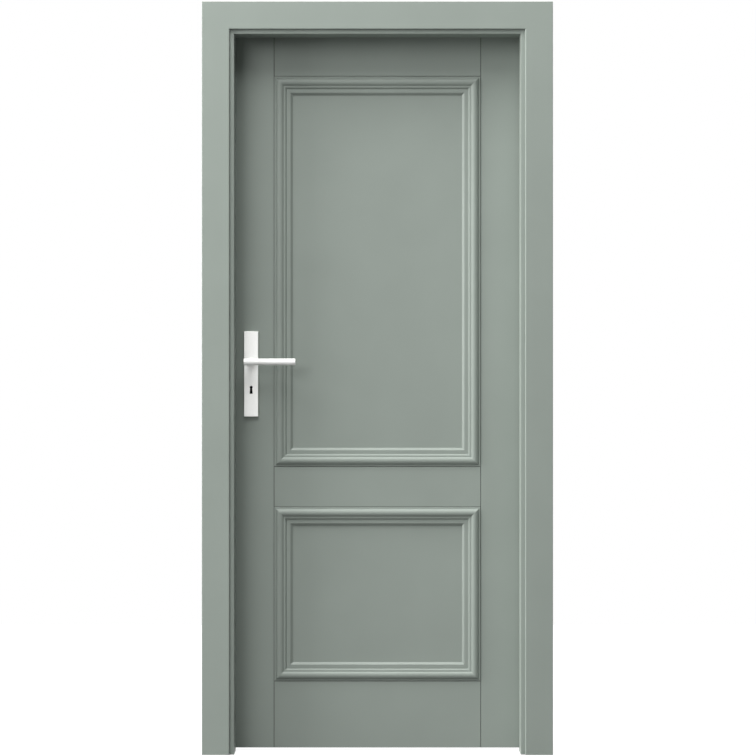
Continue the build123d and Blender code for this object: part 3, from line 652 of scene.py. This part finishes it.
def bar_outline(look):
    """Distances along the lever's bar and its radii: a thicker head, a small step and the grip."""
    head, grip = look.head_diameter / 2, look.grip_diameter / 2
    start, step, end, soft = -look.head_length / 2, look.head_length / 2, look.grip_end, look.end_round
    small = (head - grip) / 2
    parts = [
        [(start, 0.0), (start, head * BAR_RING)],
        quarter((start + soft, head - soft), soft, 180, 90),
        quarter((step - small, head - small), small, 90, 0, steps=3),
        quarter((step + small, grip + small), small, 180, 270, steps=3),
        quarter((end - soft, grip - soft), soft, 90, 0),
        [(end, grip * BAR_RING), (end, 0.0)],
    ]
    return np.concatenate(parts).T


def neck_outline(look):
    """Distances out from the leaf and radii of the neck, which ends at the bar's axis."""
    radius, soft = look.neck_diameter / 2, look.neck_round
    end = look.reach - look.head_diameter / 2
    parts = [
        [(look.neck_root, 0.0), (look.neck_root, radius)],
        quarter((end - soft, radius - soft), soft, 90, 0, steps=8),
        [(end, radius * NECK_RING), (end, 0.0)],
    ]
    return np.concatenate(parts).T


class DOOR_OT_levers(bpy.types.Operator):
    """Round T-shaped lever on each face"""

    bl_idname = "door.levers"
    bl_label = "Levers"

    def execute(self, context):
        look = context.scene.door_handles
        for face, depth, outward in (("front", LEAF_FRONT_Y, -1.0), ("back", LEAF_BACK_Y, 1.0)):
            axis_y = depth + outward * (look.reach - look.head_diameter / 2)
            axis, root = (SPINDLE_X, axis_y, SPINDLE_Z), (SPINDLE_X, depth, SPINDLE_Z)
            bar = turned_patch(bar_outline(look), axis, (1, 0, 0), look.turns)
            neck = turned_patch(neck_outline(look), root, (0, outward, 0), look.turns)
            name, nodes = f"lever_{face}_turned", [f"lever_{face}"]
            build_piece(name, [bar, neck], "white_coat", "handle", nodes)
        return {"FINISHED"}


# Hinges

# Rows of points along one turn of a thread, and how steep the ridge's sides are: over 1, its top is flat
THREAD_ROWS, RIDGE_SLOPE = 8, 1.6


def threaded_outline(start, end, radius, pitch, depth, columns, point=0.0):
    """Distances along a stem and radii for each turn of the angle, with a ridge that winds round it.

    The ridge is a triangle wave of the distance over the pitch less the angle over a turn. It fades in
    over the first pitch. point is the length over which the stem narrows to nothing at its end.
    """
    rows = int((end - start) / pitch * THREAD_ROWS) + 2
    distance = np.linspace(start, end, rows)[:, None]
    turn = np.linspace(0, 1, columns, endpoint=False)[None]
    phase = (distance / pitch - turn) % 1.0
    ridge = np.clip(RIDGE_SLOPE * (1 - 2 * np.abs(phase - 0.5)), 0, 1)
    fade = np.clip((distance - start) / pitch, 0, 1)
    narrowing = np.clip((end - distance) / point, 0, 1) if point else np.ones_like(distance)
    radii = radius * (1 - depth * (1 - ridge * fade)) * narrowing
    return distance[:, 0], radii


def closed_stem(start, end, radius, pitch, depth, columns):
    """Threaded outline with a flat face at each end."""
    distance, radii = threaded_outline(start, end, radius, pitch, depth, columns)
    nothing = np.zeros((1, columns))
    distance = np.concatenate([[start], distance, [end]])
    return distance, np.concatenate([nothing, radii, nothing])


def upper_outline(look, gap):
    """Distances up from the hinge's middle and radii of the leaf's knuckle, bored from below."""
    radius, soft, joint = look.barrel_diameter / 2, look.end_round, look.joint_round
    bore, top = look.bore_diameter / 2, gap + look.barrel_height
    parts = [
        [(look.bore_depth, 0.0), (look.bore_depth, bore), (gap, bore)],
        quarter((gap + joint, radius - joint), joint, 180, 90, steps=4),
        quarter((top - soft, radius - soft), soft, 90, 0, steps=8),
        [(top, radius * KNUCKLE_RING), (top, 0.0)],
    ]
    return np.concatenate(parts).T


def lower_outline(look, gap):
    """Distances up from the hinge's middle and radii of the frame's knuckle, with its pin on top."""
    radius, soft, joint = look.barrel_diameter / 2, look.end_round, look.joint_round
    pin, tip, foot = look.pin_diameter / 2, look.pin_height, -gap - look.barrel_height
    parts = [
        [(foot, 0.0), (foot, radius * KNUCKLE_RING)],
        quarter((foot + soft, radius - soft), soft, 180, 90, steps=8),
        quarter((-gap - joint, radius - joint), joint, 90, 0, steps=4),
        [(-gap, pin), (tip - soft, pin), (tip, pin - soft), (tip, 0.0)],
    ]
    return np.concatenate(parts).T


class DOOR_OT_hinges(bpy.types.Operator):
    """Screw-in hinges: knuckles with rounded ends, pins and threaded stems"""

    bl_idname = "door.hinges"
    bl_label = "Hinges"

    def execute(self, context):
        look = context.scene.door_hinges
        radius, height, columns, tilt = look.barrel_diameter / 2, look.barrel_height, look.turns, look.tilt
        thread = (look.stem_diameter / 2, look.pitch, look.thread_depth, columns)
        leaf_start = look.bore_diameter / 2 + look.stem_clearance
        towards_leaf = (-math.sin(tilt), -math.cos(tilt), 0)
        for number in (1, 2, 3):
            leaf_box, frame_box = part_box(f"hinge_leaf_part_{number}"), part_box(f"hinge_frame_part_{number}")
            x, y = leaf_box[1].x - radius, leaf_box[1].y - radius
            middle = (leaf_box[0].z + frame_box[0].z + height) / 2
            gap = leaf_box[0].z - middle
            halves = (
                ("leaf", upper_outline(look, gap), gap + height / 2, (-1, 0, 0), leaf_start),
                ("frame", lower_outline(look, gap), -gap - height / 2, towards_leaf, 0.0),
            )
            for body, outline, stem_z, direction, start in halves:
                barrel = turned_patch(outline, (x, y, middle), (0, 0, 1), columns)
                stem = closed_stem(start, look.stem_length, *thread)
                shank = turned_patch(stem, (x, y, middle + stem_z), direction, columns)
                name, nodes = f"hinge_{body}_half_{number}", [f"hinge_{body}_part_{number}"]
                build_piece(name, [barrel, shank], "brushed_steel", body, nodes)
        return {"FINISHED"}


# Screws, bolts, dowels and the ward in the lock

# Diameters of the shank and the head
SMALL_SCREW, CORNER_SCREW, PLATE_BOLT = (0.004, 0.008), (0.0045, 0.009), (0.005, 0.0095)

# Steps round a screw, and round a dowel for each of its flutes
SCREW_STEPS, FLUTE_STEPS = 48, 6

# A cross hollow's walls end at these parts of its depth and of its rim's width. A head's rim is a part
# of its diameter high, and a wood screw's point is so many shank diameters long.
WALL_DEPTH, WALL_WIDTH, HEAD_RIM, POINT_LENGTH = 0.8, 0.55, 0.03, 2

# Decimals that round a place to a micrometre, and the least number to divide by
DECIMALS, TINY = 6, 1e-6

# A dowel's middle, across and up
DOWEL_X = (-0.294, 0.294)
DOWEL_Z = (0.048, 0.152, 0.7275, 0.7725, 1.953, 2.003)

# Bevels of a dowel's ends and of the ward's rims
DOWEL_BEVEL, WARD_BEVEL = 0.0015, 0.0003

# A grub screw's diameter, and how far it stands out of the neck
GRUB_DIAMETER, GRUB_PROUD = 0.005, 0.00008


def cross_recess(half_width, reach, columns):
    """Radius of a cross-shaped hollow's rim at each angle.

    It is the arms' half width over the lesser of the angle's sine and cosine, and at most the reach.
    """
    angle = np.linspace(0, 2 * math.pi, columns, endpoint=False)
    nearest = np.minimum(np.abs(np.sin(angle)), np.abs(np.cos(angle)))
    return np.minimum(reach, half_width / np.maximum(nearest, TINY))


def hexagon_recess(reach, columns):
    """Radius of a six-sided hollow's rim at each angle.

    It is the flats' distance over the cosine of the angle from the middle of the nearest flat.
    """
    angle = np.linspace(0, 2 * math.pi, columns, endpoint=False) % (math.pi / 3) - math.pi / 6
    return reach / np.cos(angle)


def screw_places(node, direction, inset):
    """Where a node's screws start, and how long they are, from the node's box.

    A screw starts at the face that its direction leaves. On each other axis it stands an inset in
    from either side of the box, and both are one place where the box is only a head wide.
    """
    low, high = (np.array(corner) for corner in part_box(node))
    first = np.where(direction, np.where(np.array(direction) < 0, high, low), low + inset)
    last = np.where(direction, first, high - inset)
    sides = [np.unique(np.round(pair, DECIMALS)) for pair in zip(first, last)]
    length = np.round((high - low) @ np.abs(direction), DECIMALS)
    return list(itertools.product(*sides)), length


def screw_patch(look, start, direction, length, diameters, pitch, pointed):
    """Countersunk screw with a cross recess: rows from the hollow's middle out, then cone and thread.

    The hollow falls straight to most of its depth as it narrows, and from there to a point.
    """
    shank, head = diameters[0] / 2, diameters[1] / 2
    full = np.ones(SCREW_STEPS)
    rim = cross_recess(look.recess_width * head, look.recess_reach * head, SCREW_STEPS)
    depth, edge = look.recess_depth * diameters[1], HEAD_RIM * diameters[1]
    point = POINT_LENGTH * diameters[0] if pointed else 0.0
    thread = (shank, pitch, look.thread_depth, SCREW_STEPS, point)
    along, ridged = threaded_outline(head - shank, length, *thread)
    distances = np.concatenate([[depth, depth * WALL_DEPTH, 0.0, 0.0, edge], along, [length]])
    hollow = [0 * full, WALL_WIDTH * rim, rim, (head - edge) * full, head * full]
    radii = np.concatenate([hollow, ridged, [0 * full]])
    return turned_patch((distances, radii), start, direction, SCREW_STEPS)


def grub_patch(start, length):
    """Headless screw with a bevelled lower end, and a hexagon hollow in it half as wide as the screw."""
    radius, full = GRUB_DIAMETER / 2, np.ones(SCREW_STEPS)
    rim = hexagon_recess(radius * 0.5, SCREW_STEPS)
    depth, wall, narrowed, bevel = 0.0025, 0.0022, 0.9, 0.0003
    distances = [depth, wall, 0.0, 0.0, bevel, length, length]
    outside = [(radius - bevel) * full, radius * full, radius * full, 0 * full]
    radii = np.array([0 * full, narrowed * rim, rim, *outside])
    return turned_patch((distances, radii), start, (0, 0, 1), SCREW_STEPS)


def dowel_patch(look, x, z):
    """Fluted dowel with bevelled ends: its radius drops by the flutes' cosine wave round it."""
    columns = look.flutes * FLUTE_STEPS
    wave = 0.5 - 0.5 * np.cos(np.linspace(0, 2 * math.pi * look.flutes, columns, endpoint=False))
    radius, length, full = look.dowel_diameter / 2, look.dowel_length, np.ones(columns)
    fluted, narrow = radius - look.flute_depth * wave, (radius - DOWEL_BEVEL) * full
    distances = [0.0, 0.0, DOWEL_BEVEL, length - DOWEL_BEVEL, length, length]
    radii = np.array([0 * full, narrow, fluted, fluted, narrow, 0 * full])
    return turned_patch((distances, radii), (x - length / 2, LEAF_MIDDLE_Y, z), (1, 0, 0), columns)


def ward_outline(look):
    """Distances through the ward's disc and its radii, with a bevel round each rim."""
    radius, thick = look.ward_diameter / 2, look.ward_thickness
    outline = [
        (0.0, 0.0),
        (0.0, radius - WARD_BEVEL),
        (WARD_BEVEL, radius),
        (thick - WARD_BEVEL, radius),
        (thick, radius - WARD_BEVEL),
        (thick, 0.0),
    ]
    return np.array(outline).T


class DOOR_OT_screws(bpy.types.Operator):
    """Wood screws, bolts through the leaf and the levers' grub screws"""

    bl_idname = "door.screws"
    bl_label = "Screws"

    def execute(self, context):
        look = context.scene.door_fixings
        steel, white = ("brushed_steel", "satin_steel"), ("white_coat", "white_metal")
        sets = [
            ("strike_screws", "frame", (-1, 0, 0), SMALL_SCREW, look.wood_pitch, True, steel),
            ("corner_screws", "frame", (0, 0, -1), CORNER_SCREW, look.wood_pitch, True, steel),
            ("lock_screws", "leaf", (1, 0, 0), SMALL_SCREW, look.wood_pitch, True, steel),
            ("plate_screws", "leaf", (0, -1, 0), PLATE_BOLT, look.bolt_pitch, False, white),
        ]
        for node, body, direction, diameters, pitch, pointed, (material, slot) in sets:
            places, length = screw_places(node, direction, diameters[1] / 2)
            kind = (direction, length, diameters, pitch, pointed)
            patches = [screw_patch(look, place, *kind) for place in places]
            build_piece(f"{node}_threaded", patches, material, body, [node])
        neck = context.scene.door_handles.neck_diameter / 2
        foot, top = SPINDLE_Z - neck - GRUB_PROUD, SPINDLE[0].z
        low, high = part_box("grub_screws")
        rows = (low.y + GRUB_DIAMETER / 2, high.y - GRUB_DIAMETER / 2)
        grubs = [grub_patch((SPINDLE_X, y, foot), top - foot) for y in rows]
        build_piece("grub_screws_hexagon", grubs, "brushed_steel", "handle", ["grub_screws"])
        return {"FINISHED"}


class DOOR_OT_dowels(bpy.types.Operator):
    """Fluted dowels between rails and stiles"""

    bl_idname = "door.dowels"
    bl_label = "Dowels"

    def execute(self, context):
        look = context.scene.door_fixings
        patches = [dowel_patch(look, x, z) for x in DOWEL_X for z in DOWEL_Z]
        build_piece("dowels_fluted", patches, "beech", "leaf", ["dowels"])
        return {"FINISHED"}


class DOOR_OT_key_ward(bpy.types.Operator):
    """Thin near-black disc in the middle of the lock, which closes the view through the keyhole: painted shade
    for the inside of the lock
    """

    bl_idname = "door.key_ward"
    bl_label = "Key Ward"

    def execute(self, context):
        look = context.scene.door_fixings
        place = (SPINDLE_X, LOCK_Y - look.ward_thickness / 2, SPINDLE_Z - look.ward_drop)
        disc = turned_patch(ward_outline(look), place, (0, 1, 0))
        build_piece("key_ward", [disc], "blackened_steel", "leaf", [])
        return {"FINISHED"}


# Stage

WHITE = (1.0, 1.0, 1.0, 1.0)
# What the floor throws back onto the door, and what the lamps show on it
FLOOR_BOUNCE, FLOOR_SHEEN = (0.14, 0.14, 0.14, 1.0), (0.13, 0.13, 0.13, 1.0)


def aimed(place, target):
    """Turn that points an object's -Z from its place to a target."""
    return (Vector(target) - Vector(place)).to_track_quat("-Z", "Y").to_euler()


def add_lamp(name, place, target, side, watts):
    lamp = bpy.data.lights.new(name, "AREA")
    lamp.shape, lamp.size, lamp.energy = "SQUARE", side, watts
    holder = bpy.data.objects.new(name, lamp)
    holder.location = place
    holder.rotation_euler = aimed(place, target)
    bpy.context.scene.collection.objects.link(holder)


def seen_or_thrown(tree, seen, thrown):
    """One shader for rays from the camera, a reflection or a transmission, and another for the rest."""
    path = add_node(tree, "ShaderNodeLightPath").outputs
    gloss = calculate(tree, "MAXIMUM", path["Is Glossy Ray"], path["Is Transmission Ray"])
    direct = calculate(tree, "MAXIMUM", path["Is Camera Ray"], gloss)
    ends = {0: direct, 1: thrown.outputs[0], 2: seen.outputs[0]}
    return add_node(tree, "ShaderNodeMixShader", ends).outputs[0]


def white_world(ambient):
    """World that is white to look at and lights the door evenly at its own strength."""
    world = bpy.data.worlds.new("White surround")
    bpy.context.scene.world = world
    world.use_nodes = True
    tree = world.node_tree
    tree.nodes.clear()
    thrown = add_node(tree, "ShaderNodeBackground", {"Color": WHITE, "Strength": ambient})
    seen = add_node(tree, "ShaderNodeBackground", {"Color": WHITE, "Strength": 1.0})
    add_node(tree, "ShaderNodeOutputWorld", {"Surface": seen_or_thrown(tree, seen, thrown)})


def floor_material(glow):
    """Pale floor that the camera sees as white, and a little grey where the door's shadow falls."""
    material = bpy.data.materials.new("pale_floor")
    material.use_nodes = True
    tree = material.node_tree
    tree.nodes.clear()
    thrown = add_node(tree, "ShaderNodeBsdfDiffuse", {"Color": FLOOR_BOUNCE})
    sheen = add_node(tree, "ShaderNodeBsdfDiffuse", {"Color": FLOOR_SHEEN})
    white = add_node(tree, "ShaderNodeEmission", {"Color": WHITE, "Strength": glow})
    seen = add_node(tree, "ShaderNodeAddShader", {0: sheen.outputs[0], 1: white.outputs[0]})
    add_node(tree, "ShaderNodeOutputMaterial", {"Surface": seen_or_thrown(tree, seen, thrown)})
    return material


class DOOR_OT_stage(bpy.types.Operator):
    """Camera, lamps, white surround and pale floor"""

    bl_idname = "door.stage"
    bl_label = "Stage"

    def execute(self, context):
        look, scene = context.scene.door_stage, context.scene
        camera = bpy.data.objects.new("Camera", bpy.data.cameras.new("Camera"))
        camera.location = look.camera_place
        camera.rotation_euler = (math.radians(90), 0.0, 0.0)
        camera.data.lens = look.lens
        scene.collection.objects.link(camera)
        scene.camera = camera
        middle = (0.0, 0.0, look.camera_place[2])
        for kind in ("key", "side", "front", "top", "back", "rear"):
            place, watts = getattr(look, f"{kind}_place"), getattr(look, f"{kind}_power")
            add_lamp(f"{kind.capitalize()} lamp", place, middle, look.lamp_side, watts)
        white_world(look.ambient)
        reach = look.floor_reach
        corners = [(-reach, -reach, 0.0), (reach, -reach, 0.0), (reach, reach, 0.0), (-reach, reach, 0.0)]
        mesh = bpy.data.meshes.new("floor")
        mesh.from_pydata(corners, [], [(0, 1, 2, 3)])
        mesh.materials.append(floor_material(look.floor_glow))
        floor = bpy.data.objects.new("floor", mesh)
        scene.collection.objects.link(floor)
        scene.view_settings.view_transform = "Standard"
        return {"FINISHED"}


class DOOR_PT_panel(bpy.types.Panel):
    """Lists the operators that make the door's pieces and the stage"""

    bl_idname = "DOOR_PT_panel"
    bl_label = "Interior Door"
    bl_space_type = "VIEW_3D"
    bl_region_type = "UI"
    bl_category = "Door"

    def draw(self, context):
        column = self.layout.column()
        for operator in OPERATORS:
            column.operator(operator.bl_idname)


GROUPS = {
    "door_finishes": DoorFinishes,
    "door_mouldings": DoorMouldings,
    "door_handles": DoorHandles,
    "door_hinges": DoorHinges,
    "door_fixings": DoorFixings,
    "door_stage": DoorStage,
}
OPERATORS = [
    DOOR_OT_finishes, DOOR_OT_mouldings, DOOR_OT_levers, DOOR_OT_hinges, DOOR_OT_screws, DOOR_OT_dowels,
    DOOR_OT_key_ward, DOOR_OT_stage,
]


def register():
    for group in GROUPS.values():
        bpy.utils.register_class(group)
    for name, group in GROUPS.items():
        setattr(bpy.types.Scene, name, PointerProperty(type=group))
    for operator in OPERATORS:
        bpy.utils.register_class(operator)
    bpy.utils.register_class(DOOR_PT_panel)


def unregister():
    bpy.utils.unregister_class(DOOR_PT_panel)
    for operator in reversed(OPERATORS):
        bpy.utils.unregister_class(operator)
    for name, group in reversed(GROUPS.items()):
        delattr(bpy.types.Scene, name)
        bpy.utils.unregister_class(group)


def main():
    register()
    bpy.ops.door.finishes()
    bpy.ops.door.mouldings()
    bpy.ops.door.levers()
    bpy.ops.door.hinges()
    bpy.ops.door.screws()
    bpy.ops.door.dowels()
    bpy.ops.door.key_ward()
    bpy.ops.door.stage()


if __name__ == "__main__":
    main()
